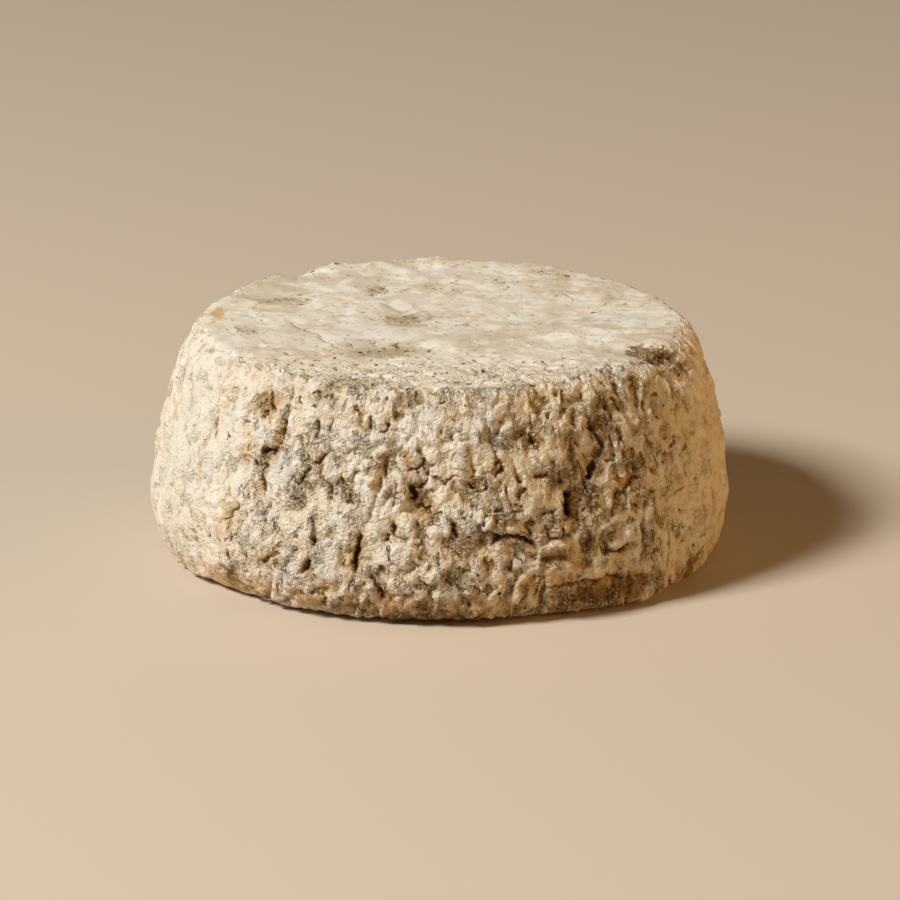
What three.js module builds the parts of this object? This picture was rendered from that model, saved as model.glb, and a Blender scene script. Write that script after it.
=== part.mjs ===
// A small wheel of aged truffle pecorino with its wrinkled natural rind, standing on its flat underside.
// Millimetres, +Z up. The origin is on the wheel's axis in the plane it rests on, and -Y is the front.
// Angles on the wheel are in degrees from the front, growing towards +X.
import * as THREE from "three";
import { mergeVertices } from "three/addons/utils/BufferGeometryUtils.js";
import { ImprovedNoise } from "three/addons/math/ImprovedNoise.js";

const HEIGHT = 60;
const WIDEST_RADIUS = 75;
const BULGE_HEIGHT = 15;
const REST_RADIUS = 64;
const TOP_FLAT_RADIUS = 61;
// The wheel was turned in its mould while soft, so its top has slid a little to the right of its base.
const TOP_SLIDE = 0.9;
const TOP_DISH = 0.7;

// The wall leans in as it rises: [share of the widest radius, share of the height].
const WALL = [
  [REST_RADIUS / WIDEST_RADIUS, 0],
  [0.925, 0.026],
  [0.972, 0.095],
  [1, BULGE_HEIGHT / HEIGHT],
  [0.978, 0.48],
  [0.942, 0.68],
  [0.9, 0.86],
  [0.866, 0.955],
  [TOP_FLAT_RADIUS / WIDEST_RADIUS, 1],
];

// Squares across each round face, and rows of squares up the wall.
const ACROSS = 34;
const UP_THE_WALL = 26;

const RIND_COLOUR = 0xd9c9a6;
const RIND_ROUGHNESS = 0.9;

// How far the wheel is from round: [waves round the wheel, depth, angle of a crest].
const OUT_OF_ROUND = [
  [2, 0.3, 60],
  [3, 0.5, -15],
  [5, 0.4, 62],
  [7, 0.35, -30],
];

// Where the foot spreads out over the surface under it, or is drawn in: its angle, half of its extent in
// degrees, how far it reaches out, and the height at which the wall is plain again.
const FOOT_LOBES = [
  { angle: 43, extent: 15, reach: 5.5, height: 11 },
  { angle: 70, extent: 16, reach: 2, height: 8 },
  { angle: -30, extent: 16, reach: -0.8, height: 9 },
  { angle: -68, extent: 16, reach: 2.2, height: 8 },
];

// Hollows and swellings of the wall: depth is negative where the rind stands proud.
const WALL_DENTS = [
  { angle: -38, height: 40, wide: 4.5, tall: 17, depth: 1.9 },
  { angle: -31, height: 36, wide: 6, tall: 9, depth: -0.9 },
  { angle: -25, height: 33, wide: 5, tall: 5, depth: 1.0 },
  { angle: -3, height: 34, wide: 5, tall: 6, depth: 2.4 },
  { angle: -16, height: 22, wide: 5, tall: 9, depth: 1.2 },
  { angle: 18, height: 49, wide: 5, tall: 5, depth: 1.8 },
  { angle: 28, height: 32, wide: 6, tall: 8, depth: 2.0 },
  { angle: 32, height: 41, wide: 4, tall: 8, depth: 1.2 },
  { angle: 14, height: 23, wide: 11, tall: 2.6, depth: 1.3 },
  { angle: 13, height: 27, wide: 9, tall: 4, depth: -1.0 },
  { angle: 22, height: 16, wide: 13, tall: 3, depth: 1.2 },
  { angle: 32, height: 20, wide: 4.5, tall: 8, depth: 1.3 },
  { angle: 61, height: 58, wide: 6, tall: 4, depth: 2.4 },
  { angle: -57, height: 14, wide: 6, tall: 7, depth: 1.0 },
  { angle: 92, height: 7, wide: 24, tall: 12, depth: 1.1 },
  { angle: 31, height: 6, wide: 11, tall: 3.2, depth: 1.2 },
  { angle: 30, height: 12.5, wide: 13, tall: 2.6, depth: -0.9 },
  { angle: 104, height: 58, wide: 14, tall: 7, depth: 1.6 },
  { angle: -88, height: 56, wide: 14, tall: 8, depth: 0.9 },
  { angle: 128, height: 30, wide: 8, tall: 16, depth: 1.3 },
  { angle: 171, height: 24, wide: 6, tall: 13, depth: 1.6 },
  { angle: -101, height: 33, wide: 7, tall: 15, depth: 1.3 },
  { angle: -148, height: 38, wide: 8, tall: 10, depth: 1.4 },
];

// Dips of the top face and its rim, by angle and distance from the axis.
const TOP_DENTS = [
  { angle: -143, reach: 60, size: 5, depth: 1.7 },
  { angle: -153, reach: 62, size: 4, depth: -0.8 },
  { angle: -178, reach: 60, size: 6, depth: -0.9 },
  { angle: 138, reach: 59, size: 9, depth: 1.1 },
  { angle: 120, reach: 60, size: 9, depth: 0.9 },
  { angle: 61, reach: 62, size: 5, depth: 1.6 },
  { angle: -28, reach: 27, size: 9, depth: 0.8 },
  { angle: -129, reach: 10, size: 8, depth: 0.6 },
  { angle: -153, reach: 37, size: 7, depth: 0.6 },
  { angle: 40, reach: 35, size: 14, depth: 0.5 },
  { angle: -70, reach: 42, size: 12, depth: 0.5 },
];

// Wrinkles of the rind: the size of one lump, how high it stands, and how much longer than wide it is on the wall.
const BROAD_LUMPS = { size: 15, height: 1.1, stretch: 1.5 };
const CLOSE_LUMPS = { size: 8, height: 0.9, stretch: 1.35 };
const TOP_SHARE = 0.35;
const LEVEL_HEIGHT = 3;

const noise = new ImprovedNoise();
const degrees = THREE.MathUtils.degToRad;
const smooth = THREE.MathUtils.smoothstep;

const wallCurve = new THREE.SplineCurve(
  WALL.map(([wide, up]) => new THREE.Vector2(wide * WIDEST_RADIUS, up * HEIGHT)),
);

function bell(...distances) {
  return Math.exp(-distances.reduce((sum, d) => sum + d * d, 0));
}

// The shortest way round from one angle to another, in radians.
function turn(from, to) {
  return Math.atan2(Math.sin(to - from), Math.cos(to - from));
}

// Share of the wheel's plain radius at an angle.
function roundness(angle) {
  const waves = OUT_OF_ROUND.map(
    ([count, depth, crest]) => depth * Math.cos(count * (angle - degrees(crest))),
  );
  return 1 + waves.reduce((sum, wave) => sum + wave, 0) / WIDEST_RADIUS;
}

function footSpread(angle, height) {
  const reaches = FOOT_LOBES.map(
    (lobe) =>
      lobe.reach *
      bell(turn(degrees(lobe.angle), angle) / degrees(lobe.extent)) *
      (1 - smooth(height, 0, lobe.height)),
  );
  return reaches.reduce((sum, reach) => sum + reach, 0);
}

// The plain wheel: where a point of a block from -1 to 1 goes. The block's square outline becomes a circle,
// while the squares near its middle stay square.
function wheelPoint(x, y, z) {
  const right = x * Math.sqrt(1 - (y * y) / 2);
  const back = y * Math.sqrt(1 - (x * x) / 2);
  const out = Math.hypot(right, back);
  const edge = wallCurve.getPointAt((z + 1) / 2);
  const angle = Math.atan2(right, -back);
  const radius = edge.x * roundness(angle) + footSpread(angle, edge.y);
  const dish = z === 1 ? TOP_DISH * (1 - out * out) : 0;
  const slide = (TOP_SLIDE * edge.y) / HEIGHT;
  return [radius * right + slide, radius * back, edge.y - dish];
}

// Rounded lumps with sharp valleys between them, from 0 in a valley to about 1 on a lump.
function lumps(point, { size, stretch }) {
  const p = new THREE.Vector3(point.x, point.y, point.z / stretch).divideScalar(size);
  const bend = noise.noise(p.x * 0.7 + 9, p.y * 0.7, p.z * 0.7);
  return Math.min(1, 2.2 * Math.abs(noise.noise(p.x + bend, p.y - bend, p.z + 0.6 * bend)));
}

function wrinkles(point, upward) {
  const share = THREE.MathUtils.lerp(1, TOP_SHARE, upward);
  const broad = BROAD_LUMPS.height * (lumps(point, BROAD_LUMPS) - 0.5);
  const close = CLOSE_LUMPS.height * (lumps(point, CLOSE_LUMPS) - 0.5);
  return share * (broad + close);
}

function dents(point, upward) {
  const angle = Math.atan2(point.x, -point.y);
  const reach = Math.hypot(point.x, point.y);
  const wall = WALL_DENTS.map(({ angle: at, height, wide, tall, depth }) => {
    const along = turn(degrees(at), angle) * WIDEST_RADIUS;
    return depth * bell(along / wide, (point.z - height) / tall) * (1 - 0.5 * upward);
  });
  const top = TOP_DENTS.map(({ angle: at, reach: out, size, depth }) => {
    const away = Math.hypot(
      reach * Math.sin(angle) - out * Math.sin(degrees(at)),
      reach * Math.cos(angle) - out * Math.cos(degrees(at)),
    );
    return depth * bell(away / size) * upward;
  });
  return -[...wall, ...top].reduce((sum, dent) => sum + dent, 0);
}

// A block with even squares, bent into the wheel and then wrinkled along its normals.
function wheelGeometry() {
  const geometry = new THREE.BoxGeometry(2, 2, 2, ACROSS, ACROSS, UP_THE_WALL);
  geometry.deleteAttribute("normal");
  geometry.deleteAttribute("uv");
  const wheel = mergeVertices(geometry, 1e-4);
  const places = wheel.attributes.position;
  const point = new THREE.Vector3();
  for (let i = 0; i < places.count; i++) {
    point.fromBufferAttribute(places, i);
    places.setXYZ(i, ...wheelPoint(point.x, point.y, point.z));
  }
  wheel.computeVertexNormals();
  const normals = wheel.attributes.normal;
  const normal = new THREE.Vector3();
  const moved = [];
  for (let i = 0; i < places.count; i++) {
    point.fromBufferAttribute(places, i);
    normal.fromBufferAttribute(normals, i);
    const upward = smooth(normal.z, 0.35, 0.95);
    // The relief fades to nothing where the wheel meets the surface under it.
    const free = smooth(point.z, 0, LEVEL_HEIGHT);
    const rise = free * (wrinkles(point, upward) + dents(point, upward));
    moved.push(point.clone().addScaledVector(normal, rise));
  }
  moved.forEach((to, i) => places.setXYZ(i, to.x, to.y, Math.max(0, to.z)));
  wheel.deleteAttribute("normal");
  return wheel;
}

const rind = new THREE.MeshStandardMaterial({
  color: RIND_COLOUR,
  roughness: RIND_ROUGHNESS,
  metalness: 0,
});

const wheel = new THREE.Mesh(wheelGeometry(), rind);
wheel.name = "cheese_wheel";

const cheese = new THREE.Group();
cheese.add(wheel);

export default cheese;
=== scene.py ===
# %% [markdown]
# A small wheel of aged truffle pecorino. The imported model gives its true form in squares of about 3 mm:
# a drum whose wall leans in, a rounded rim, and the broad dents of the rind. What is missing is the rind
# itself, which has wrinkles, cracks and pits down to the size of a grain of sand, and its colours.
# The scene is in metres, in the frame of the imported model, and -Y is the front. The measures of the rind
# are in millimetres, which are easier to read, and MM turns them into metres.

import math

import bpy
import numpy as np
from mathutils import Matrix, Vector


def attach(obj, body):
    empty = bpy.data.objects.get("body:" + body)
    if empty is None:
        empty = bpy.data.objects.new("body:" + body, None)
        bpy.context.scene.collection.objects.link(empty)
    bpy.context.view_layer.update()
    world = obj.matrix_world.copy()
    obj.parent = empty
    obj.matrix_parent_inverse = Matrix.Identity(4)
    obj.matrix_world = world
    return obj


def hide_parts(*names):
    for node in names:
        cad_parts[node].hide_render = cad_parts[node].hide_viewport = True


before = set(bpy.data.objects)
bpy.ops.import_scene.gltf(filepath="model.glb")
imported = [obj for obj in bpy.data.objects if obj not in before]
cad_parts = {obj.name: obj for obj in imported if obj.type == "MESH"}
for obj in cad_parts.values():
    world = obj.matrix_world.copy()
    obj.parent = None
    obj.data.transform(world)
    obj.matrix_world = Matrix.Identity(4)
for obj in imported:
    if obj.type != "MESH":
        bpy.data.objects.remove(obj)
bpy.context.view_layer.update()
MM = 0.001

# %% [markdown]
# The camera comes first, because the work is judged through it. It looks down on the wheel by 17
# degrees, which is how far the top face is opened: an ellipse 0.29 times as high as it is wide. The two
# round faces are opened almost equally, so it stands far off with a long lens.

# %% Camera
CAMERA_LIFT = math.radians(17)
CAMERA_DISTANCE = 1.5
WHEEL_WIDTH = 0.150
WHEEL_WIDTH_PX = 574
IMAGE_PX = 900
AIM = Vector((0.0029, 0, 0.0247))
SENSOR_MM = 36
FARTHEST_VIEW = 20

bpy.ops.object.select_all(action="DESELECT")
outward = Vector((0, -math.cos(CAMERA_LIFT), math.sin(CAMERA_LIFT)))
bpy.ops.object.camera_add(location=AIM + outward * CAMERA_DISTANCE)
camera = bpy.context.object
camera.rotation_euler = outward.to_track_quat("Z", "Y").to_euler()
camera.data.sensor_width = SENSOR_MM
camera.data.lens = SENSOR_MM * CAMERA_DISTANCE * WHEEL_WIDTH_PX / WHEEL_WIDTH / IMAGE_PX
camera.data.clip_end = FARTHEST_VIEW
bpy.context.scene.camera = camera
print("lens, mm:", round(camera.data.lens))

# %% [markdown]
# The light is one large soft lamp from the left, a little in front of the wheel and well above it, so that
# it rakes across the front of the wall and each wrinkle throws a small shadow. A weak warm lamp on the
# right stands for the light that warm things around the wheel send back. The floor is plain and pale, and
# as it is staged it isn't part of the object.


# %% Floor and lights
def soft_lamp(name, turn, lift, distance, size, watts, colour):
    """A square lamp that looks at the wheel: turn is its angle from the front, towards +X."""
    turn, lift = math.radians(turn), math.radians(lift)
    side = Vector((math.sin(turn) * math.cos(lift), -math.cos(turn) * math.cos(lift), math.sin(lift)))
    bpy.ops.object.light_add(type="AREA", location=side * distance)
    lamp = bpy.context.object
    lamp.name = name
    lamp.rotation_euler = side.to_track_quat("Z", "Y").to_euler()
    lamp.data.size = size
    lamp.data.energy = watts
    lamp.data.color = colour


soft_lamp("key_lamp", turn=-58, lift=44, distance=2.4, size=0.6, watts=73, colour=(0.98, 0.985, 0.96))
soft_lamp("fill_lamp", turn=74, lift=12, distance=1.6, size=1.2, watts=13.5, colour=(1, 0.57, 0.18))

FLOOR_SIZE = 12
FLOOR_COLOUR = (0.6, 0.495, 0.385, 1)
FLOOR_ROUGHNESS = 0.8
AIR_COLOUR = (1, 0.8, 0.55, 1)
AIR_STRENGTH = 0.09

bpy.ops.mesh.primitive_plane_add(size=FLOOR_SIZE)
floor = bpy.context.object
floor.name = "studio_floor"
floor_paint = bpy.data.materials.new("pale_floor")
floor_paint.use_nodes = True
floor_shader = floor_paint.node_tree.nodes["Principled BSDF"]
floor_shader.inputs["Base Color"].default_value = FLOOR_COLOUR
floor_shader.inputs["Roughness"].default_value = FLOOR_ROUGHNESS
floor.data.materials.append(floor_paint)

world = bpy.data.worlds.new("studio_air")
world.use_nodes = True
air = world.node_tree.nodes["Background"]
air.inputs["Color"].default_value = AIR_COLOUR
air.inputs["Strength"].default_value = AIR_STRENGTH
bpy.context.scene.world = world
bpy.context.scene.view_settings.view_transform = "Standard"

# %% [markdown]
# Shader maths is easier to read as arithmetic. A wire is one output of a node tree, and +, -, * and / on
# wires add Math nodes. The same class serves Geometry Nodes and shaders, which share these nodes. So one
# formula can push the rind's vertices and also colour its creases, and the two agree everywhere.


# %% Arithmetic on wires
class Wire:
    """One output socket of a node tree, on which Python's arithmetic works."""

    def __init__(self, tree, socket):
        self.tree = tree
        self.socket = socket

    def maths(self, operation, *values):
        return add_node(self.tree, "ShaderNodeMath", {"operation": operation}, dict(enumerate(values)))

    def __add__(self, other):
        return self.maths("ADD", self, other)

    def __sub__(self, other):
        return self.maths("SUBTRACT", self, other)

    def __rsub__(self, other):
        return self.maths("SUBTRACT", other, self)

    def __mul__(self, other):
        return self.maths("MULTIPLY", self, other)

    def __truediv__(self, other):
        return self.maths("DIVIDE", self, other)

    def __abs__(self):
        return self.maths("ABSOLUTE", self)

    __radd__ = __add__
    __rmul__ = __mul__

    def over(self, other):
        return self.maths("MAXIMUM", self, other)

    def rises(self, low, high):
        """0 below low and 1 above high, with a smooth rise between them."""
        inputs = {"Value": self, "From Min": low, "From Max": high}
        return add_node(self.tree, "ShaderNodeMapRange", {"interpolation_type": "SMOOTHSTEP"}, inputs)

    def falls(self, low, high):
        return 1 - self.rises(low, high)

    def moved(self, other):
        return add_node(self.tree, "ShaderNodeVectorMath", {"operation": "ADD"}, {0: self, 1: other})

    def times(self, factors):
        return add_node(self.tree, "ShaderNodeVectorMath", {"operation": "MULTIPLY"}, {0: self, 1: factors})

    def parts(self):
        split = add_node(self.tree, "ShaderNodeSeparateXYZ", {}, {"Vector": self})
        return [Wire(self.tree, socket) for socket in split.socket.node.outputs]


def add_node(tree, kind, settings, inputs, output=0):
    """A new node with its settings, then its sockets' values or links. Returns the wire of one output."""
    node = tree.nodes.new(kind)
    for name, value in settings.items():
        setattr(node, name, value)
    for name, value in inputs.items():
        if isinstance(value, Wire):
            tree.links.new(value.socket, node.inputs[name])
        else:
            node.inputs[name].default_value = value
    return Wire(tree, node.outputs[output])


# %% [markdown]
# The rind is a skin that has shrunk, split and worn away in places. It swells into rounded lumps, and
# between them its soft sheets give way to a lower, crumbly layer. Noise cut at a level, with a wide
# transition, gives the sheets, because a hard cut looks like flakes of granite. Noise folded at zero
# gives the lumps, with narrow valleys, or turned over, thin winding ridges. The place is bent by slower
# noise first, so that edges wander, and squeezed in height, so that the forms run down the wall.


# %% The rind's formula
def noise(place, size, detail=0.0, rough=0.5, signed=True, output="Fac"):
    """Noise whose lumps are about size mm across."""
    inputs = {"Vector": place, "Scale": 1 / size, "Detail": detail, "Roughness": rough}
    return add_node(place.tree, "ShaderNodeTexNoise", {"normalize": not signed}, inputs, output)


def bent(place, size, reach):
    """The place, moved by up to about reach mm by noise of a size."""
    swirl = noise(place, size, signed=False, output="Color")
    return place.moved(swirl.moved((-0.5, -0.5, -0.5)).times((2 * reach,) * 3))


LEAST_WIDTH = 0.05
WANDER_MM, SHIVER_MM = 2.1, 0.7
WANDER_SHARE, SHIVER_SHARE = 0.6, 0.4


def drawn_line(place, line):
    """A drawn line's depth at a place and the stain beside it: its attribute holds distance, width, depth."""
    side, width, depth = line.parts()
    wander = noise(place, WANDER_MM) * WANDER_SHARE + noise(place, SHIVER_MM, 1) * SHIVER_SHARE
    across = abs(side + wander) / width.over(LEAST_WIDTH)
    return across.falls(0, 1) * depth, across.falls(0.8, 3.2) * depth


# The size of each form along the surface, in mm.
SHEET_MM, SCRAP_MM, LUMP_MM, BEAD_MM, RIDGE_MM, SWELL_MM, BREAK_MM = 7, 3.2, 6, 2.6, 5, 9, 5
# How high each form stands, or how deep it is, in mm. The wall's share of them is its coarseness.
LUMP_RISE, BEAD_RISE, SHEET_RISE, LIP_RISE = 0.8, 0.28, 0.55, 0.2
UPPER_RISE, RIDGE_RISE, SWELL_RISE, SPLIT_DEPTH = 0.2, 0.5, 0.55, 0.15
# Forms are longer down the wall than along it, the ridges most.
WALL_SQUEEZE, RIDGE_SQUEEZE = (1, 1, 0.68), (1, 1, 0.5)


def rind(place, coarse, worn, cracks, folds):
    """The relief in mm and the masks of the rind at a place of the smooth wheel, in mm.

    Each noise is read at a place of its own, moved by some mm, so that the forms don't repeat each other.
    """
    tall = place.times(WALL_SQUEEZE)
    sheet = noise(bent(tall, 6, 3), SHEET_MM, 2, 0.5)
    scrap = noise(bent(tall.moved((40, 7, 3)), 3, 1.6), SCRAP_MM, 1, 0.5)
    bulge = abs(noise(bent(tall.moved((0, 90, 0)), 6, 3), LUMP_MM, 0.5, 0.4))
    bead = abs(noise(bent(place.moved((3, 60, 9)), 3, 1.5), BEAD_MM, 1))
    string = abs(noise(bent(place.times(RIDGE_SQUEEZE).moved((20, 20, 50)), 5, 3), RIDGE_MM, 1, 0.4))
    broken = noise(place.moved((0, 0, 70)), BREAK_MM, 2).rises(0, 0.3)
    crack, crack_edge = drawn_line(place, cracks)
    fold, _ = drawn_line(place, folds)

    # Ridges stay where the skin has worn away, and the level says where skin is left: high is skin.
    ridge = string.falls(0.02, 0.24) * worn
    level = sheet * 0.5 + scrap * 0.35 + bulge * 0.4 - coarse * 0.06 - worn * 0.14 + ridge * 0.35
    skin = level.rises(-0.32, 0).over(fold.rises(0.1, 0.5))
    upper = level.rises(-0.05, 0.3)
    lip = level.rises(-0.2, -0.12).over(fold.rises(0.1, 0.5)) * broken
    flake = (scrap + bulge * 0.3).rises(0.03, 0.08)
    split = level.rises(-0.26, -0.19) * level.falls(-0.19, -0.13) * broken

    # Where skin is left the lumps stand at their full height, and elsewhere at 0.6 of it.
    form = bulge.rises(0, 0.38) * LUMP_RISE + bead.rises(0, 0.42) * BEAD_RISE * coarse.rises(0.2, 0.7)
    height = form * (0.6 + skin * 0.4) + skin * SHEET_RISE + lip * LIP_RISE + upper * UPPER_RISE
    height = height + ridge * RIDGE_RISE - split * SPLIT_DEPTH
    shade = form * 0.6 + skin * 0.5 + ridge * 0.4
    swell = noise(bent(place, 9, 5), SWELL_MM, 1) * coarse.rises(0.02, 0.12) * coarse.falls(0.3, 0.6)
    height = height * coarse + swell * SWELL_RISE + fold - crack
    return {"height": height, "shade": shade, "split": split, "form": form, "lip": lip, "flake": flake,
            "crack": crack, "crack_edge": crack_edge}


# %% [markdown]
# The wheel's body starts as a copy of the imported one. Its loose triangles are welded and paired into
# squares again, and a Subdivision Surface rounds the 3 mm facets away and leaves squares under half
# a millimetre. The places of this smooth body are kept as an attribute: all patterns read them.

# %% The smooth wheel
SAME_PLACE = 1e-6
FACET_ROUNDS = 3
cad_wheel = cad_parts["cheese_wheel"]
wheel = bpy.data.objects.new("pecorino_rind", cad_wheel.data.copy())
bpy.context.scene.collection.objects.link(wheel)
bpy.ops.object.select_all(action="DESELECT")
bpy.context.view_layer.objects.active = wheel
wheel.select_set(True)
bpy.ops.object.mode_set(mode="EDIT")
bpy.ops.mesh.select_all(action="SELECT")
bpy.ops.mesh.remove_doubles(threshold=SAME_PLACE)
bpy.ops.mesh.tris_convert_to_quads(face_threshold=math.pi, shape_threshold=math.pi)
bpy.ops.object.mode_set(mode="OBJECT")
if wheel.data.has_custom_normals:
    bpy.ops.mesh.customdata_custom_splitnormals_clear()
bpy.ops.object.shade_smooth()
print("squares:", sum(len(p.vertices) == 4 for p in wheel.data.polygons), "of", len(wheel.data.polygons))

subdivide = wheel.modifiers.new("round_facets", "SUBSURF")
subdivide.levels = subdivide.render_levels = FACET_ROUNDS
bpy.ops.object.modifier_apply(modifier=subdivide.name)
print("faces after subdividing:", len(wheel.data.polygons))


def read_rows(items, name):
    """One vector for each item, as rows of x, y, z."""
    flat = np.zeros(len(items) * 3, np.float32)
    items.foreach_get(name, flat)
    return flat.reshape(-1, 3).astype(float)


def keep_attribute(mesh, name, values):
    """A number or a vector for each vertex, kept under a name that the patterns read."""
    kind, field = ("FLOAT_VECTOR", "vector") if values.ndim == 2 else ("FLOAT", "value")
    attribute = mesh.attributes.get(name) or mesh.attributes.new(name, kind, "POINT")
    attribute.data.foreach_set(field, values.astype(np.float32).ravel())


rest = read_rows(wheel.data.vertices, "co") / MM
normals = read_rows(wheel.data.vertex_normals, "vector")
keep_attribute(wheel.data, "rest_mm", rest)

# %% [markdown]
# The larger cracks, pits and folds are drawn where the photograph shows them: on the wall by the
# angle from the front and the height, on the top by x and y, all in degrees and mm. Each line has a width
# and a depth. Near a line the wheel keeps the distance to it, positive on one side and negative on the
# other, because such a number stays exact between vertices that lie further apart than a crack is wide.

# %% Lines drawn on the rind
WALL_HEIGHTS = (0, 1.5, 6, 15, 29, 41, 52, 57.5, 60)
WALL_RADII = (64, 70, 73.2, 75, 74, 71.7, 68.5, 65.5, 61)
TOP_HEIGHT = 59.6

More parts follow.
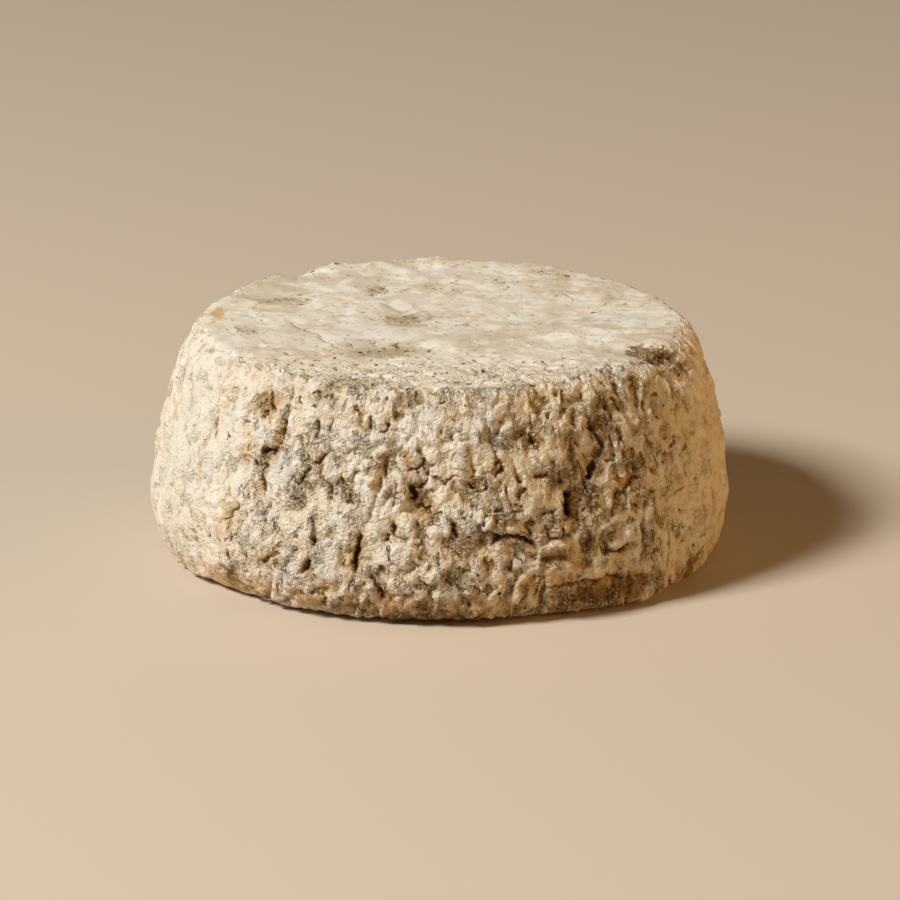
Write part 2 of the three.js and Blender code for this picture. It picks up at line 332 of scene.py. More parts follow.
WALL_CRACKS = [
    # width, depth, then angle and height of each point
    (1.0, 1.1, (-56.2, 46.5), (-55.8, 44), (-55, 42), (-54, 40.5)),
    (1.6, 0.5, (-57.6, 35), (-58.4, 32), (-58.3, 29), (-57.8, 27.5)),
    (0.7, 0.5, (-58, 27), (-59.4, 24.5)),
    (1.1, 0.5, (-64, 51), (-61.5, 51.2), (-59, 51.6)),
    (0.9, 0.7, (-52.7, 53.8), (-51.2, 54.2)),
    (1.0, 0.8, (-50.8, 50.6), (-50.6, 52.5)),
    (1.0, 0.6, (-56.6, 50), (-56.2, 50.6)),
    (1.0, 0.5, (-54.4, 51), (-54, 52)),
    (1.3, 1.3, (-40.8, 56.8), (-40, 55), (-39.3, 53), (-38.8, 51)),
    (1.3, 1.4, (-41.3, 48.8), (-40.9, 50.5), (-40.3, 51.6)),
    (1.1, 1.0, (-42.8, 53.5), (-42.4, 51.8)),
    (1.0, 0.8, (-46.8, 47.2), (-45.5, 46.7), (-44.5, 46.9)),
    (1.7, 2.2, (-36.2, 51), (-35.5, 48.5), (-35.7, 45.8), (-36.6, 43.4), (-38, 41.9), (-39.4, 41),
     (-40.2, 39.6)),
    (2.0, 2.2, (-41.3, 38.9), (-40.5, 38.4)),
    (1.3, 1.6, (-39, 40.2), (-38.6, 38.6), (-38.9, 36.5), (-38.6, 34.5), (-38, 32.7), (-37.5, 30)),
    (1.0, 1.3, (-37.6, 28), (-37.2, 26.5), (-36.9, 24), (-36.9, 21), (-36.7, 19)),
    (1.0, 0.9, (-47.8, 21), (-46, 22.5), (-44.5, 25), (-42.8, 26.6)),
    (0.8, 0.7, (-46.8, 25), (-46.2, 27)),
    (0.8, 0.8, (-46.4, 15.8), (-45, 17.4), (-43.6, 19), (-43.3, 20)),
    (1.2, 1.2, (-45, 15), (-45.3, 13), (-45, 10.4)),
    (0.8, 0.8, (-40.3, 15.8), (-40.7, 13)),
    (1.3, 1.1, (-52.4, 17), (-52.7, 15.6), (-53.9, 14.5)),
    (1.0, 0.8, (-60.5, 14.8), (-58, 13.7), (-58.4, 12), (-59.9, 11.4)),
    (0.9, 0.6, (-66, 19.5), (-64.8, 17.5), (-65.5, 15.5)),
    (1.8, 1.3, (-37.3, 12.2), (-36, 13.5), (-34.5, 15.5), (-33, 16.5), (-31.8, 17.4)),
    (1.7, 1.7, (-25.4, 17), (-26.2, 14.5), (-27.1, 12.6)),
    (1.6, 1.2, (-25.3, 28.5), (-24.8, 26.5), (-24.3, 24.5), (-24.6, 22), (-24.6, 19.8)),
    (1.3, 1.4, (-29.8, 34.2), (-28.4, 36), (-27.3, 38), (-26, 40), (-25, 41.5), (-24, 42.8),
     (-22.5, 44.6)),
    (1.1, 1.1, (-23.6, 39), (-23, 37), (-22.3, 36), (-22.1, 34), (-21.9, 31.6)),
    (1.0, 1.0, (-30.4, 31.4), (-28.8, 31.3), (-27.2, 29.8)),
    (1.3, 1.3, (-26.6, 51.8), (-26, 50), (-26, 48.3), (-26.5, 46.6)),
    (0.9, 0.9, (-22.7, 52.4), (-23, 50), (-23.2, 48.2)),
    (0.9, 0.8, (-35, 52.8), (-34.9, 50.8)),
    (1.2, 1.2, (-14.7, 53.8), (-14.1, 52), (-14.2, 50.1)),
    (1.3, 1.3, (-10.1, 52.6), (-10.8, 50.4), (-12.4, 49.7)),
    (1.0, 0.9, (-17.9, 45.2), (-17, 43.9)),
    (1.2, 0.7, (-20.2, 37.2), (-18, 37.2), (-16.4, 36.8)),
    (1.8, 1.0, (-18.2, 34.6), (-17.2, 33), (-16.5, 31.6)),
    (1.8, 2.0, (-15.2, 25.2), (-15.5, 22), (-15.7, 20), (-16.2, 17), (-16.3, 13.8)),
    (1.6, 1.2, (-13.2, 15), (-12, 12), (-11.2, 9.5), (-10.8, 7)),
    (1.0, 0.8, (-10.5, 44), (-10.4, 41), (-10, 38)),
    (1.0, 0.9, (-8.5, 39), (-8.2, 36), (-8.8, 33), (-9.3, 31.4)),
    (1.4, 1.5, (-8.8, 28.4), (-8.2, 26.5), (-8.7, 25.2), (-9.7, 24.7), (-10.4, 22.8)),
    (1.1, 0.8, (-9.2, 24.8), (-7, 24), (-5.3, 23.4)),
    (1.2, 1.2, (-6.8, 41.2), (-5.5, 41.3), (-4, 41.6), (-3, 43), (-2.6, 44.7)),
    (2.6, 2.4, (-5.1, 37.6), (-4.6, 35.6), (-4.2, 33.8)),
    (1.6, 1.4, (-4.2, 33.2), (-2.4, 32), (-1.2, 30.2)),
    (1.0, 1.0, (-1.8, 40), (-0.3, 39), (1.2, 38.3), (2.5, 39.2), (4.6, 39.6)),
    (1.2, 1.1, (5.4, 38.2), (7, 36.8), (8.8, 35.8), (9.9, 37.6)),
    (1.7, 1.5, (2.8, 28.6), (3.3, 26), (4, 24)),
    (0.9, 0.8, (-4.9, 23), (-3.8, 21.8), (-2.9, 23.2)),
    (1.0, 0.9, (0.2, 21.4), (0.3, 18), (0.5, 16)),
    (1.2, 1.0, (-3.6, 13.6), (-2, 12.4)),
    (1.7, 1.9, (10, 22.8), (11.2, 23.7), (13, 24.2), (15, 24.1), (16.8, 23.1), (18, 21.9), (18.8, 20.8)),
    (1.4, 1.2, (16.6, 28), (17.6, 25.8), (18.6, 23.6)),
    (0.9, 0.8, (10.4, 26), (12, 28.6), (14, 30.4), (17, 30.5)),
    (2.4, 2.0, (19.4, 49), (20, 47.4), (20.4, 46.2)),
    (1.0, 0.9, (20, 54.5), (19.9, 51), (19.8, 49)),
    (1.9, 1.3, (12.2, 43.6), (12.9, 41.6), (12.2, 39.6)),
    (1.8, 1.2, (19.2, 38.2), (21, 38.6), (22.4, 38)),
    (1.2, 1.1, (10.6, 30.6), (13, 30.9)),
    (1.1, 1.1, (14.8, 32.2), (16.8, 31.3)),
    (1.2, 1.0, (20.2, 29.6), (22, 29), (24, 29.4)),
    (1.1, 1.0, (20.8, 27.2), (21.5, 25), (22.3, 22.8), (24.5, 22.2), (26.4, 22.8), (27, 24.6)),
    (3.2, 1.0, (19.6, 17.4), (21.5, 17.6), (23.5, 17.5), (26, 17)),
    (2.8, 2.6, (27.6, 34), (27, 31.5), (27.3, 29), (28.4, 27.4)),
    (2.0, 2.3, (31.8, 35.4), (32.6, 37.5), (33.4, 38.8), (34.2, 40.4)),
    (1.8, 1.5, (33, 51), (34, 49.5), (34.5, 48), (35.2, 46), (35.9, 44), (36, 41.6)),
    (1.6, 1.2, (36.8, 30.3), (38.5, 30.6), (40.3, 31.5), (42, 33.2), (44.6, 34.2)),
    (0.8, 0.9, (40.7, 28.8), (41.5, 27.3), (42.6, 26.7), (43.8, 27.7)),
    (1.4, 1.2, (34.8, 17.4), (37, 16.1), (39, 16.3), (40.8, 17.6)),
    (2.4, 0.9, (31.2, 23.4), (31, 20.4), (30.3, 17.2)),
    (1.5, 1.2, (20, 10.4), (24, 10.2), (28, 9.6), (32, 9.5), (35, 10), (38, 9), (42, 8.2)),
    (1.2, 0.8, (42.8, 15), (43.2, 12)),
    (1.1, 0.7, (45, 13.4), (45.1, 12)),
    (1.7, 0.9, (46.3, 7), (47.5, 4), (48.5, 1.6)),
    (1.1, 0.9, (56.6, 41.4), (55.6, 39.2), (53.8, 38)),
    (1.0, 0.8, (57.8, 36.8), (59.6, 37.3)),
    (1.6, 0.9, (59.6, 51.2), (60.6, 51.6)),
    (1.4, 0.8, (64.8, 53.4), (66.2, 53.8)),
    (1.4, 0.7, (62.6, 47.2), (63.6, 47.6)),
    (0.8, 0.7, (50.4, 35.2), (53.2, 35.9)),
    (0.9, 0.7, (53.2, 26.8), (55, 27.4), (56.4, 28.2)),
    (1.4, 0.8, (51.4, 51.6), (51.3, 49), (51.8, 46.6)),
    (1.3, 0.8, (42.4, 36.4), (45, 36), (47, 37)),
    (1.5, 1.0, (40, 48), (41, 44.6), (41.4, 41)),
    (1.8, 1.0, (40.4, 55), (41.6, 52.6), (42.4, 50)),
    (5.5, 1.3, (58, 59.2), (61, 59), (64, 58.6), (68, 57.8)),
]
WALL_FOLDS = [
    (2.0, 0.75, (10, 21.6), (12, 22.6), (14, 22.7), (16, 21.8), (18, 20.3), (22, 20.4), (25, 20.7),
     (29, 21.2)),
    (1.9, 0.7, (19, 28.4), (19.4, 25.4), (19.7, 22.4), (19.8, 20.6)),
    (1.8, 0.8, (20, 15.3), (23, 15), (26, 14.3), (29, 12.8), (32, 11.8)),
    (2.4, 0.8, (40.5, 20.6), (42.3, 18), (42.6, 15), (42.4, 11.6), (44, 9.6), (46.4, 8.4)),
    (2.0, 0.7, (49.8, 53.4), (50.6, 50.6), (50.4, 47.4), (49.4, 45)),
    (1.9, 0.6, (43.5, 49.8), (45.2, 48.4), (46.5, 46), (46, 43.4), (46.2, 40.4)),
    (2.2, 0.7, (57.6, 46), (56.6, 43.4), (57.4, 41)),
    (2.2, 0.8, (27, 49), (29.4, 48.4), (32, 47), (32.6, 44.6)),
    (1.8, 0.7, (28.6, 26.6), (31, 27.6), (33.4, 26.4), (34, 23.6), (33, 21)),
    (2.0, 0.8, (-38.2, 50), (-37.6, 47.6), (-38, 45), (-39.6, 43.4)),
    (2.0, 0.7, (-12.6, 45.6), (-12.2, 42), (-12.8, 38.4), (-14.6, 36.6)),
    (2.4, 0.8, (-7.4, 38.6), (-7, 35), (-7.4, 31.6), (-6.2, 28), (-5, 25.6)),
    (2.0, 0.7, (-18.4, 46.6), (-15.6, 47.4), (-12.6, 48), (-9.4, 49)),
    (1.9, 0.7, (-28.6, 33.6), (-26.4, 32.6), (-24, 30.4), (-20.6, 29.6)),
    (2.0, 0.7, (-32.4, 12.2), (-31.4, 15), (-29.4, 18), (-28.6, 21)),
    (2.0, 0.6, (-62, 31), (-61.4, 26), (-61.8, 20)),
    (2.2, 0.6, (-53.4, 33), (-52.8, 28), (-53.4, 23)),
    (1.8, 0.6, (-55.4, 24.4), (-52, 25.4), (-49.4, 24)),
    (1.9, 0.7, (16.4, 53.6), (14.6, 50), (15.8, 46.6), (15, 43)),
    (1.8, 0.7, (8, 44.4), (8.4, 41.4), (8.2, 38.6)),
    (1.8, 0.6, (0.4, 37.4), (1.4, 34.6), (0.6, 31.6)),
]
TOP_CRACKS = [
    # width, depth, then x and y of each point
    (0.8, 0.5, (-39.5, 3.7), (-36.3, -2.8), (-31.6, -10.2), (-26.7, -21.4), (-22.5, -28)),
    (1.6, 0.5, (-18.6, 35), (-16.8, 32), (-15, 30)),
    (1.4, 0.7, (-12.6, 2.4), (-12, 0.8)),
    (1.0, 0.6, (-8.4, -0.4), (-6.2, -1.4), (-4.2, -1)),
    (1.3, 0.6, (-21.8, -20.6), (-21, -22.4)),
    (1.2, 0.5, (-20.4, -26.4), (-19.4, -28)),
    (1.0, 0.6, (-16.4, -31.4), (-13, -32.8), (-10, -33), (-6.6, -31)),
    (1.2, 0.4, (-10.4, -20), (-8.4, -21)),
    (1.3, 0.4, (-48.6, 13), (-47.2, 14.2)),
    (1.4, 0.4, (-51.4, -7), (-50, -10.6)),
    (1.8, 0.5, (-39, -32), (-36, -31)),
    (1.3, 0.5, (-34.6, -49), (-31.6, -46.6)),
    (0.8, 0.4, (-31, -44.6), (-25, -44), (-19, -44.4)),
    (1.0, 0.5, (-13, -46.4), (-12, -45.4)),
    (1.1, 0.5, (-5.4, -36.6), (-3.4, -35.4)),
    (1.1, 0.5, (-3.6, -28.4), (-1.4, -27.2), (0.4, -28)),
    (1.0, 0.5, (23, -18), (25, -16.8)),
    (1.0, 0.5, (30.6, -22), (32.8, -20.6)),
    (0.8, 0.3, (24.4, -9.4), (29, -8.4), (35, -9.2)),
    (1.1, 0.5, (29.6, -36), (32.4, -34.8), (35.6, -34.8)),
    (1.0, 0.5, (20.6, -45.6), (23.6, -46.2)),
    (1.3, 0.7, (8, -46.4), (11, -48), (13, -50)),
    (0.9, 0.4, (42.4, -39.6), (43.8, -38.4)),
    (1.2, 0.3, (18, 46.4), (23, 45.4), (27, 43)),
    (1.0, 0.3, (-0.6, 15.6), (1.6, 19), (6, 21), (10, 21)),
    (0.8, 0.3, (22.4, 5.8), (25.2, 5.6)),
    (1.0, 0.3, (46, 12.4), (48.4, 10)),
    (0.9, 0.3, (-30, 24), (-24, 22), (-20, 17)),
    (0.9, 0.3, (32, 30), (36, 24), (42, 22)),
]


def on_wall(angle, height):
    radius = np.interp(height, WALL_HEIGHTS, WALL_RADII)
    turn = math.radians(angle)
    return np.array((radius * math.sin(turn), -radius * math.cos(turn), height))


def on_top(x, y):
    return np.array((x, y, TOP_HEIGHT))


# How far beyond a line its distance is kept, in mm.
REACH = 5.0
# A line gets shallower towards its ends.
END_SHARE, END_STEEPNESS = 0.04, 2.2
# Its depth counts as far as FADE_END mm beyond its width, and fades over the last FADE_LENGTH mm.
FADE_END, FADE_LENGTH = 1.3, 0.8


def distances(points, normals, lines):
    """For each point the signed distance to its nearest line, that line's width, and its depth."""
    field = np.zeros((len(points), 3))
    field[:, 0] = REACH
    field[:, 1] = 1
    for width, depth, *corners in lines:
        corners = np.array(corners)
        low, high = corners.min(0) - REACH, corners.max(0) + REACH
        close = np.flatnonzero(((points > low) & (points < high)).all(1))
        if not len(close):
            continue
        here, facing = points[close], normals[close]
        best = np.full(len(close), REACH)
        side = np.full(len(close), REACH)
        along = np.zeros(len(close))
        lengths = np.linalg.norm(np.diff(corners, axis=0), axis=1)
        start = 0.0
        for a, b, length in zip(corners, corners[1:], lengths):
            direction = (b - a) / length
            walked = np.clip((here - a) @ direction, 0, length)
            away = here - a - walked[:, None] * direction
            # Only the way over the surface counts, so what lies along the normal is taken off.
            away -= facing * (away * facing).sum(1)[:, None]
            distance = np.linalg.norm(away, axis=1)
            nearer = distance < best
            best[nearer] = distance[nearer]
            left = (np.cross(direction, here - a) * facing).sum(1)
            side[nearer] = np.where(left > 0, distance, -distance)[nearer]
            along[nearer] = ((start + walked) / lengths.sum())[nearer]
            start += length
        taper = np.sin(np.pi * np.clip(along, END_SHARE, 1 - END_SHARE)) * END_STEEPNESS
        fade = np.clip((width + FADE_END - best) / FADE_LENGTH, 0, 1)
        better = best < np.abs(field[close, 0])
        depths = depth * np.clip(taper, 0, 1) * fade
        field[close[better]] = np.stack([side, np.full(len(close), width), depths], 1)[better]
    return field


def place_lines(lines, on_wheel, width_share, depth_share):
    """The drawn lines with their corners as points of the wheel, in mm, and their measures scaled."""
    placed = []
    for width, depth, *corners in lines:
        placed.append((width * width_share, depth * depth_share, *(on_wheel(*c) for c in corners)))
    return placed


CRACK_WIDTH, CRACK_DEPTH = 0.6, 0.8
FOLD_WIDTH, FOLD_HEIGHT = 1, 1.1
cracks = place_lines(WALL_CRACKS, on_wall, CRACK_WIDTH, CRACK_DEPTH)
cracks += place_lines(TOP_CRACKS, on_top, CRACK_WIDTH, CRACK_DEPTH)
folds = place_lines(WALL_FOLDS, on_wall, FOLD_WIDTH, FOLD_HEIGHT)
print("cracks:", len(cracks), "folds:", len(folds))

# %% [markdown]
# The rind isn't equally coarse all round. The side that the lamp lights is smooth and bloomed over, and
# the front and right are deeply wrinkled. The top has been rubbed and turned, so it keeps about a sixth of
# the relief, a half near its front edge, and low broad swells of its own. At the flat underside all relief
# fades out, so that the wheel stands on it.

# %% How coarse the rind is
COARSE_ANGLES = (-180, -110, -80, -52, -42, -20, 40, 55, 75, 180)
COARSE_SHARES = (0.7, 0.6, 0.54, 0.55, 0.74, 0.88, 0.85, 0.65, 0.5, 0.7)
TOP_SHARE = 0.16
TOP_FRONT_SHARE = 0.4
# The top's front part begins and is full at these distances in front of the axis.
TOP_FRONT_MM = (22, 50)
# The relief fades in between these heights over the floor.
GROUND_MM = (0.2, 2.5)
# The wall becomes the top as the normal turns up between these values of its z.
WALL_TO_TOP = (0.86, 0.99)
# How much of the skin has worn away from between thin winding ridges, by angle from the front.
WORN_ANGLES = (-180, -100, -55, -35, 0, 15, 60, 90, 180)
WORN_SHARES = (0.6, 0.3, 0.05, 0.25, 0.4, 0.8, 1.0, 0.8, 0.6)
# The wear ends on the rim, as the normal turns up between these values, and there is more at the foot.
WORN_RIM = (0.6, 0.95)
WORN_FOOT_MM = (4, 8)
WORN_FOOT_SHARE = 0.3


def smooth_rise(value, low, high):
    t = np.clip((value - low) / (high - low), 0, 1)
    return t * t * (3 - 2 * t)


def angle_from_front(points):
    return np.degrees(np.arctan2(points[:, 0], -points[:, 1]))


def coarseness(points, normals):
    wall = np.interp(angle_from_front(points), COARSE_ANGLES, COARSE_SHARES)
    up = smooth_rise(normals[:, 2], *WALL_TO_TOP)
    top = TOP_SHARE + TOP_FRONT_SHARE * smooth_rise(-points[:, 1], *TOP_FRONT_MM)
    return (wall * (1 - up) + top * up) * smooth_rise(points[:, 2], *GROUND_MM)


def wear(points, normals):
    wall = np.interp(angle_from_front(points), WORN_ANGLES, WORN_SHARES)
    foot = WORN_FOOT_SHARE * (1 - smooth_rise(points[:, 2], *WORN_FOOT_MM))
    return (wall + foot) * (1 - smooth_rise(normals[:, 2], *WORN_RIM))


def keep_fields(mesh, points, normals):
    keep_attribute(mesh, "crack_line", distances(points, normals, cracks))
    keep_attribute(mesh, "fold_line", distances(points, normals, folds))
    keep_attribute(mesh, "coarse", coarseness(points, normals))
    keep_attribute(mesh, "worn", wear(points, normals))
    keep_attribute(mesh, "upward", normals[:, 2])


keep_fields(wheel.data, rest, normals)
keep_attribute(wheel.data, "smooth_normal", normals)
least, most = coarseness(rest, normals).min(), coarseness(rest, normals).max()
print("coarseness from", round(least, 2), "to", round(most, 2))

# %% [markdown]
# On a real wheel the rind swells and shrinks as it dries. Here Geometry Nodes work out the formula at every
# vertex and move it along its normal, less the mean rise, so that the wheel keeps its size. A displacement
# in the material would look the same in a render, but the mesh itself would stay smooth.


# %% Push the rind out
def read_field(tree, name, kind="FLOAT_VECTOR"):
    return add_node(tree, "GeometryNodeInputNamedAttribute", {"data_type": kind}, {"Name": name})


MEAN_RISE = 0.75


def relief_nodes():
    tree = bpy.data.node_groups.new("rind_relief", "GeometryNodeTree")
    tree.interface.new_socket("Geometry", in_out="INPUT", socket_type="NodeSocketGeometry")
    tree.interface.new_socket("Geometry", in_out="OUTPUT", socket_type="NodeSocketGeometry")
    body = add_node(tree, "NodeGroupInput", {}, {})
    place = read_field(tree, "rest_mm")
    coarse = read_field(tree, "coarse", "FLOAT")
    worn = read_field(tree, "worn", "FLOAT")
    made = rind(place, coarse, worn, read_field(tree, "crack_line"), read_field(tree, "fold_line"))
    facing = add_node(tree, "GeometryNodeInputNormal", {}, {})
    rise = (made["height"] - coarse * MEAN_RISE) * MM
    along = add_node(tree, "ShaderNodeVectorMath", {"operation": "SCALE"}, {0: facing, "Scale": rise})
    moved = add_node(tree, "GeometryNodeSetPosition", {}, {"Geometry": body, "Offset": along})
    end = tree.nodes.new("NodeGroupOutput")
    tree.links.new(moved.socket, end.inputs[0])
    return tree


push = wheel.modifiers.new("rind_relief", "NODES")
push.node_group = relief_nodes()
bpy.ops.object.modifier_apply(modifier=push.name)
moves = ((read_rows(wheel.data.vertices, "co") / MM - rest) * normals).sum(1)
print("the rind moves from", round(moves.min(), 2), "to", round(moves.max(), 2), "mm")

# %% [markdown]
# What comes out has hundreds of thousands of tiny squares, many of them in plain parts. A Decimate modifier
# keeps the forms with fewer triangles. The fields are then worked out again for the vertices that are left,
# because a distance with a sign can't be averaged across the middle of a crack.

# %% Fewer triangles where the rind is plain
MOST_TRIANGLES = 196000
thin = wheel.modifiers.new("thin_out", "DECIMATE")
thin.ratio = MOST_TRIANGLES / (2 * len(wheel.data.polygons))
bpy.ops.object.modifier_apply(modifier=thin.name)
print("triangles:", sum(len(p.vertices) - 2 for p in wheel.data.polygons))
rest = read_rows(wheel.data.attributes["rest_mm"].data, "vector")
normals = read_rows(wheel.data.attributes["smooth_normal"].data, "vector")
normals /= np.linalg.norm(normals, axis=1)[:, None]
keep_fields(wheel.data, rest, normals)

# %% [markdown]
# Moulds grow on a rind where it was damp, and it stains where it lay or was touched. Patches of grey mould,
# ochre stain, white bloom and dark soil are placed where they lie on the real wheel, as soft spots.
# The material later makes their edges ragged with noise.

# %% Patches of mould, stain, bloom and soil
MOULD_WALL = [
    # angle from the front, height, half width and half height in mm, strength
    (31, 20, 2.4, 4.5, 1), (22.5, 17.5, 4.5, 1.6, 1), (29.5, 33, 3, 3, 0.9), (53, 49, 3, 3, 0.7),
    (47.5, 5, 2, 4, 1), (3, 13, 6, 3.5, 0.9), (-4, 42.5, 2, 2.4, 0.9), (-26, 56, 5, 1.8, 0.8),
    (-22, 54.5, 3, 1.4, 0.6), (-49.6, 53, 3.4, 1.6, 0.5), (-37, 17.6, 3.4, 2, 0.5),
    (44, 17, 1.6, 6, 0.7), (35, 25, 3.6, 2, 0.6), (45, 36.4, 3.4, 1.6, 0.7),
    (55.4, 29, 3, 1.6, 0.6), (2, 55.5, 5, 2, 0.6), (-8, 57, 4, 1.6, 0.7), (38.8, 44, 2.6, 6, 0.5),
    (49, 24, 4, 8, 0.35), (13, 33, 3, 2, 0.4), (-17, 33.6, 2.6, 2.6, 0.5), (6, 28.6, 3, 1.8, 0.6),
    (-11, 26, 2, 4, 0.4), (60, 12, 8, 5, 0.4), (-50, 42, 2.4, 4, 0.35), (-59, 6, 5, 3, 0.3),
    (22, 53, 3.4, 2, 0.5), (9, 37, 2.4, 1.6, 0.5),
]
MOULD_TOP = [
    # x, y, half sizes in mm, strength
    (-16.7, 32, 3, 4.5, 1), (-8.5, 4, 6, 6, 0.9), (-14, -26, 8, 7, 1), (-41.5, 19.5, 6, 3, 0.9),
    (-50, -9, 4, 5, 0.6), (-22, -56, 7, 3, 0.9), (17, 37.5, 5, 3.4, 0.5), (28, 47, 7, 3, 0.6),
    (-37, -31.5, 3, 2, 0.7), (40, 9, 4, 4, 0.4), (36, -46, 5, 3, 0.5), (12, -48, 3, 2, 0.6),
    (31, -35, 4, 2, 0.5), (0, 32, 8, 4, 0.3), (-30, 44, 6, 4, 0.3),
]
STAIN_WALL = [
    (-3, 31, 2.4, 4.4, 1), (20, 11, 6, 3, 0.9), (-27, 6, 7, 3, 0.9), (-10, 7, 7, 4, 0.8),
    (-47, 22, 4, 5, 0.7), (-44, 38, 2.4, 3.4, 0.7), (-38, 7, 6, 2.6, 0.8), (-6.4, 43, 1.6, 3, 0.7),
    (-12, 39, 2, 5, 0.6), (-4, 4.5, 22, 4, 1), (-50, 4, 14, 4, 0.8), (60, 4, 12, 4, 0.6),
    (28, 13.6, 7, 2, 0.7), (28, 46, 5, 3, 0.7), (-41, 53, 4, 4, 0.8), (16.6, 53.4, 4, 1.6, 0.7),
    (33, 5, 12, 4.5, 1), (12.6, 41, 2.4, 4, 0.7), (-38.4, 34, 1, 4, 0.8), (-23, 9, 5, 3, 0.6),
    (40.4, 34, 5, 2.4, 0.6), (-18, 16, 3, 4, 0.5), (9, 20, 2, 4, 0.5), (-62, 4, 8, 2, 0.6),
    (22, 36, 6, 5, 0.35), (-35, 46, 2, 5, 0.5), (50, 30, 8, 4, 0.3),
]
STAIN_TOP = [
    (-57.5, 7.4, 1.6, 5, 1), (-29, -29, 4, 2, 0.5), (-1.6, -27.7, 3, 2, 0.5), (8, 6.5, 4, 4, 0.4),
    (29, 48, 6, 3, 0.4), (41, 31, 3, 3, 0.4), (14, 28, 4, 4, 0.3), (-40, -40, 8, 3, 0.4),
    (0, 57, 9, 3, 0.4),
]
BLOOM_WALL = [
    (-66, 38, 12, 20, 0.7), (-56, 32, 3, 4.5, 1), (-51, 45, 3, 5, 0.8), (-33, 42.6, 3.4, 3, 1),
    (-33, 37, 4, 3, 0.8), (-22, 41.6, 2, 4, 0.9), (-14, 47.4, 5, 1.8, 1), (9.6, 49, 3, 3.4, 1),
    (-35.6, 26, 2.4, 5, 0.8), (10, 54, 5, 1.8, 0.8), (-22, 17, 2.4, 4, 0.8), (-52, 17.4, 3, 3, 0.7),
    (-41, 21, 3, 3, 0.7), (7, 26, 3, 3, 0.7), (-18.6, 29, 3, 3, 0.5), (-31, 13, 3, 3, 0.6),
    (-4, 53, 4, 3, 0.4), (44, 58, 5, 1.6, 0.9), (-38, 56, 3, 3, 0.6), (6, 14, 2, 3, 0.6),
]
BLOOM_TOP = [
    (42.5, -44.7, 5, 3.4, 1), (50, -36, 4, 3.4, 1), (0, 0, 40, 40, 0.3), (48, 6, 6, 10, 0.6),
    (-40, -14, 6, 8, 0.5), (20, -50, 14, 4, 0.5), (-20, 10, 8, 8, 0.4), (12, 42, 5, 5, 0.6),
]
SOIL_WALL = [
    (33, 5.5, 13, 3, 1), (63.5, 58.2, 4, 2, 1), (66, 55, 5, 2, 0.6), (31, 31, 3, 4, 0.9),
    (19.5, 47, 3, 3, 0.9), (31, 19, 2.4, 4, 0.9), (-4.5, 35.5, 2, 3, 0.9), (-36, 49, 1.4, 3, 0.6),
    (22, 17.5, 5, 1.6, 0.8), (-15.5, 20, 1.6, 5, 0.6), (0, 3, 14, 2.4, 0.8), (-26, 14, 2, 3, 0.6),
    (36, 45, 2.4, 4, 0.8), (43, 6, 5, 3, 0.8), (34, 38, 3, 3, 0.8), (26, 38, 6, 2.4, 0.6),
    (40, 52, 4, 3, 0.7), (-39, 40, 2, 2, 0.7), (-46, 8, 6, 2.4, 0.6), (28, 41, 3, 4, 0.6),
    (14, 46, 4, 2, 0.6), (24, 27, 3, 2, 0.6), (-28, 31, 2, 3, 0.5), (60, 5, 8, 3, 0.6),
]


PATCH_REACH = 2.5
PATCH_SOFTNESS = 0.7


def patches(points, on_the_wall, on_the_top):
    """A soft spot from 0 to its strength for each patch; the strongest counts."""
    field = np.zeros(len(points))
    spots = [(on_wall(a, h), a, True, wide, tall, s) for a, h, wide, tall, s in on_the_wall]
    spots += [(on_top(x, y), 0, False, wide, tall, s) for x, y, wide, tall, s in on_the_top]
    for centre, angle, standing, wide, tall, strength in spots:
        turn = math.radians(angle)
        across = np.array((math.cos(turn), math.sin(turn), 0))
        other = np.array((0, 0, 1) if standing else (0, 1, 0))
        away = points - centre
        close = (away**2).sum(1) < (PATCH_REACH * max(wide, tall)) ** 2
        spread = ((away @ across) / wide) ** 2 + ((away @ other) / tall) ** 2
        field = np.maximum(field, strength * np.exp(-PATCH_SOFTNESS * spread) * close)
    return field


mould_stain_bloom = [
    patches(rest, MOULD_WALL, MOULD_TOP),
    patches(rest, STAIN_WALL, STAIN_TOP),
    patches(rest, BLOOM_WALL, BLOOM_TOP),
]
keep_attribute(wheel.data, "patches", np.stack(mould_stain_bloom, 1))
keep_attribute(wheel.data, "soil", patches(rest, SOIL_WALL, []))
print("mean mould, stain and bloom:", [round(float(field.mean()), 3) for field in mould_stain_bloom])

# %% [markdown]
# A rind gets its colour in coats, and so does this one: each coat has a colour, and a share from 0 to 1 that
# says where it lies. First come the ivory and cream skin and its bloom, with a painted highlight on the
# coarse wall and painted shade on the low sides of its lumps, then dirt with painted shade, stain and mould,
# then the cracks and the gaps of the loose parts, brown and darkened with painted shade, and last the pale
# crumbs that lie on top of all. The shares come from the masks of the relief, so that dirt and painted shade
# lie where the form is low. Each colour is named after what it stands for.


# %% The rind's colours
def mix(factor, first, second):
    return add_node(factor.tree, "ShaderNodeMix", {"data_type": "RGBA"}, {0: factor, 6: first, 7: second}, 2)


def from_srgb(red, green, blue):
    """A colour read off a screen, from 0 to 255, as the linear colour that a shader takes."""
    return (*(((c / 255 + 0.055) / 1.055) ** 2.4 for c in (red, green, blue)), 1)


# The skin, and the bloom on it, with a painted highlight and painted shade on its lumps.
IVORY = from_srgb(226, 219, 206)
CREAM = from_srgb(218, 206, 189)
SMEAR = from_srgb(214, 196, 166)
CLOUD = from_srgb(198, 183, 160)
PALE_HIGHLIGHT = from_srgb(241, 229, 214)
TAN_SHADE = from_srgb(224, 204, 166)
HONEY = from_srgb(224, 205, 163)
WORN_TAN = from_srgb(205, 177, 128)
WHITE_BLOOM = from_srgb(214, 207, 194)
# What lies and grows on it, and the painted shade of its hollows.
DIRT_AND_SHADE = from_srgb(192, 155, 88)
OCHRE = from_srgb(198, 150, 78)
MOULD = from_srgb(147, 129, 97)
OLIVE = from_srgb(158, 142, 98)
DARK_SOIL_AND_SHADE = from_srgb(120, 85, 30)
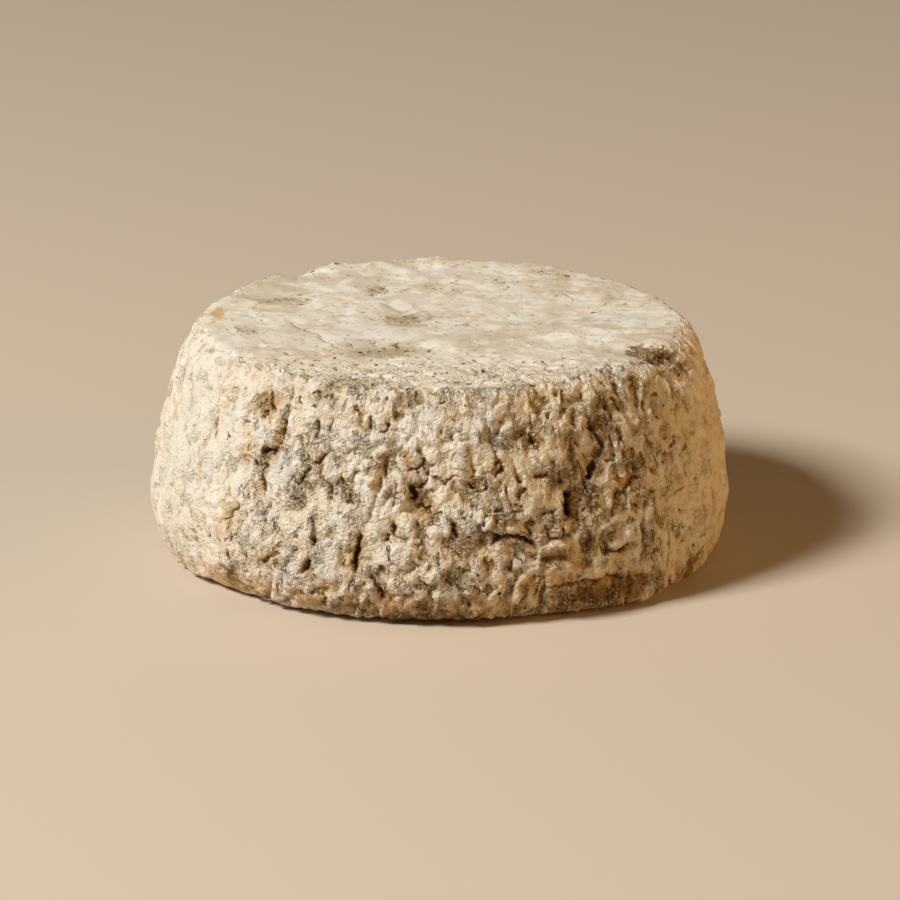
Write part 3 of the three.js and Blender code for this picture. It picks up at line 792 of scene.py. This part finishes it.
# Cracks and loose parts, and the painted shade in the cracks, in the gaps and along the sheet edges.
GOLD = from_srgb(184, 140, 70)
GAP_SHADE = from_srgb(138, 105, 50)
CRACK_BROWN_AND_SHADE = from_srgb(98, 63, 18)
BLACK_SPECK_AND_SHADOW = from_srgb(46, 29, 8)
CRUMB = from_srgb(236, 220, 184)

# The sizes of the patterns in the colours, in mm.
SPECK_MM, GRAIN_MM, FLECK_MM, RAGGED_MM, HONEY_MM = 0.6, 0.9, 1.7, 3.2, 4
SMEAR_MM, DUST_MM, BLOTCH_MM, CLOUD_MM = 5, 5, 9, 11
SMALL_CRUMB_MM, LARGE_CRUMB_MM = 0.8, 1.4
RIND_ROUGHNESS, RIND_SHINE = 0.8, 0.3


def crumbs(place, size, share):
    """Round crumbs of a size in mm, in a share of the cells of a Voronoi texture: 1 on a crumb, else 0."""
    bumpy = bent(place, size, size * 0.5)
    cells = {"Vector": bumpy, "Scale": 1 / size}
    away = add_node(place.tree, "ShaderNodeTexVoronoi", {}, cells)
    chance = add_node(place.tree, "ShaderNodeTexVoronoi", {}, cells, "Color").parts()[0]
    return away.falls(0.2, 0.5) * (chance + share).rises(0.95, 1.02)


def shader_field(tree, name, output="Vector"):
    return add_node(tree, "ShaderNodeAttribute", {"attribute_name": name}, {}, output)


def rind_material():
    material = bpy.data.materials.new("natural_rind")
    material.use_nodes = True
    tree = material.node_tree
    shader = tree.nodes["Principled BSDF"]
    place = shader_field(tree, "rest_mm")
    coarse, upward, worn, soiled = (
        shader_field(tree, name, "Fac") for name in ("coarse", "upward", "worn", "soil"))
    mould, stain, bloom = shader_field(tree, "patches").parts()
    made = rind(place, coarse, worn, shader_field(tree, "crack_line"), shader_field(tree, "fold_line"))
    crack = made["crack"]

    specks = noise(place.moved((5, 5, 5)), SPECK_MM, 1, 0.6)
    grain = noise(place, GRAIN_MM, 3, 0.65)
    flecks = noise(place.moved((5, 60, 5)), FLECK_MM, 1, 0.5)
    ragged = noise(place, RAGGED_MM, 3, 0.65)
    honey = noise(place.moved((30, 0, 0)), HONEY_MM, 3, 0.6)
    smear = noise(bent(place.moved((9, 9, 9)), 5, 3), SMEAR_MM, 2, 0.5)
    dust = noise(place.moved((0, 30, 60)), DUST_MM, 2, 0.6)
    blotch = noise(place, BLOTCH_MM, 3, 0.6)
    cloud = noise(bent(place.moved((0, 9, 0)), 8, 5), CLOUD_MM, 1, 0.5)

    # Which part of the wheel a place is on.
    rim = upward.rises(0.7, 0.88) * upward.falls(0.96, 1)
    top = upward.rises(0.93, 0.99)
    rough_part = coarse.rises(0.22, 0.85)
    crusty = coarse.rises(0.52, 0.85)

    # Hollows of the relief, which get dirt and painted shade, and the loose, crumbly layer in some of them.
    hollow_dirt_and_shade = (made["shade"] + ragged * 0.3).falls(0.1, 0.75) * rough_part * (worn * 0.8 + 0.3)
    # The deepest hollows, which get painted shade.
    deep_shade = (made["shade"] + ragged * 0.25).falls(0, 0.38) * rough_part
    loose = (hollow_dirt_and_shade * 0.6 + dust * 1.1 + rim * 0.2 + soiled * 0.5).rises(0.05, 0.7)
    loose = loose * coarse.rises(0.4, 0.85).over(soiled)
    small_crumb = crumbs(place, SMALL_CRUMB_MM, loose * 0.65)
    crumb = small_crumb.over(crumbs(place.moved((3, 3, 3)), LARGE_CRUMB_MM, loose * 0.4))
    # Painted shade in the gaps between the crumbs.
    shaded_gap = loose * (grain + specks).falls(-0.4, 0.1) * (1 - crumb)
    soil = (soiled + ragged * 0.5).rises(0.2, 0.8) * (1 - crumb)
    # Painted shadow along the broken edges of the skin sheets.
    shaded_edge = (made["split"] * (grain + 1)).rises(0.2, 0.8) * crusty

    # Olive flecks and black specks, most of them in the mould, on the rim and on the front of the top.
    # The black specks in the deep hollows, in the gaps and along the sheet edges are painted shade.
    fleck_zone = mould.rises(0.1, 0.5) + coarse.rises(0.2, 0.6) * top + rim * 0.6
    fleck_zone = fleck_zone + (1 - rough_part) * (top * 0.18 + 0.12)
    black_specks_and_shade = specks.falls(-0.48, -0.28) * (deep_shade * 0.6 + shaded_gap * 0.2 + mould * 0.4 + soil * 0.5 + shaded_edge * 0.5)
    black_specks_and_shade = black_specks_and_shade.over(flecks.falls(-0.62, -0.5) * fleck_zone)
    # Painted shade on the low sides of the lumps, where the form falls away.
    low_form_shade = (made["form"] + grain * 0.3).falls(0.2, 0.9)
    bloom = bloom + cloud.falls(-0.4, 0) * (1 - crusty) * 0.35

    coats = [
        (blotch.rises(-0.35, 0.35), CREAM),
        (smear.rises(0.05, 0.4) * 0.6, SMEAR),
        (cloud.rises(-0.05, 0.35) * (1 - rough_part * 0.6) * 0.8, CLOUD),
        # Painted highlight: the coarse wall made paler, least where it is worn.
        (rough_part * (1 - worn * 0.85) * 0.7, PALE_HIGHLIGHT),
        # Painted shade, tan on the low sides of the lumps.
        (low_form_shade * rough_part * 0.5, TAN_SHADE),
        (honey.rises(0, 0.45) * rough_part * 0.36, HONEY),
        (worn.rises(0.4, 1.1) * 0.4, WORN_TAN),
        ((bloom + ragged * 0.3).rises(0.1, 0.7) * 0.75, WHITE_BLOOM),
        # Dirt and painted shade in the hollows.
        (hollow_dirt_and_shade * 0.8, DIRT_AND_SHADE),
        ((stain + ragged * 0.4).rises(0.15, 0.8) * 0.7, OCHRE),
        ((mould + ragged * 0.3 + grain * 0.2).rises(0.2, 1) * 0.75, MOULD),
        (flecks.falls(-0.5, -0.3) * fleck_zone * 0.6, OLIVE),
        # Painted shade in the deepest hollows, and the dark soil patches.
        ((deep_shade * 0.6).over(soil * 0.85), DARK_SOIL_AND_SHADE),
        (made["crack_edge"] * 0.35, GOLD),
        # Painted shade in the gaps between crumbs.
        (shaded_gap * 0.75, GAP_SHADE),
        # Painted shadow along the sheet edges.
        (shaded_edge * 0.8, CRACK_BROWN_AND_SHADE),
        # The brown of the cracks with painted shade, and painted shadow where they are deepest.
        (crack.rises(0.1, 0.8) * 0.8, CRACK_BROWN_AND_SHADE),
        (crack.rises(0.8, 1.6) * 0.9, BLACK_SPECK_AND_SHADOW),
        # Black specks, partly painted shade in the deep hollows, the gaps and along the sheet edges.
        (black_specks_and_shade.rises(0.1, 0.7) * 0.8, BLACK_SPECK_AND_SHADOW),
        (crumb * (0.7 - soiled * 0.45), CRUMB),
    ]
    colour = IVORY
    for share, paint in coats:
        colour = mix(share, colour, paint)
    tree.links.new(colour.socket, shader.inputs["Base Color"])
    shader.inputs["Roughness"].default_value = RIND_ROUGHNESS
    shader.inputs["Specular IOR Level"].default_value = RIND_SHINE

    # What is finer than the mesh, in mm: grain, crumbs and the gaps between them, lips and flakes of skin.
    fine = grain * (0.01 + loose * 0.36 + rough_part * 0.28) - crack * 0.5
    fine = fine + crumb * 0.5 - shaded_gap * 0.36 - shaded_edge * 0.4
    fine = fine + (made["lip"] * 0.35 + made["flake"] * 0.17) * crusty
    bump = add_node(tree, "ShaderNodeBump", {}, {"Height": fine, "Distance": MM, "Strength": 1})
    tree.links.new(bump.socket, shader.inputs["Normal"])
    print("coats of colour:", len(coats), "nodes:", len(tree.nodes))
    return material


wheel.data.materials.clear()
wheel.data.materials.append(rind_material())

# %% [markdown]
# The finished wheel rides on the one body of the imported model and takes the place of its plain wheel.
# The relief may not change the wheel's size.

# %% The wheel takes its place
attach(wheel, "root")
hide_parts("cheese_wheel")
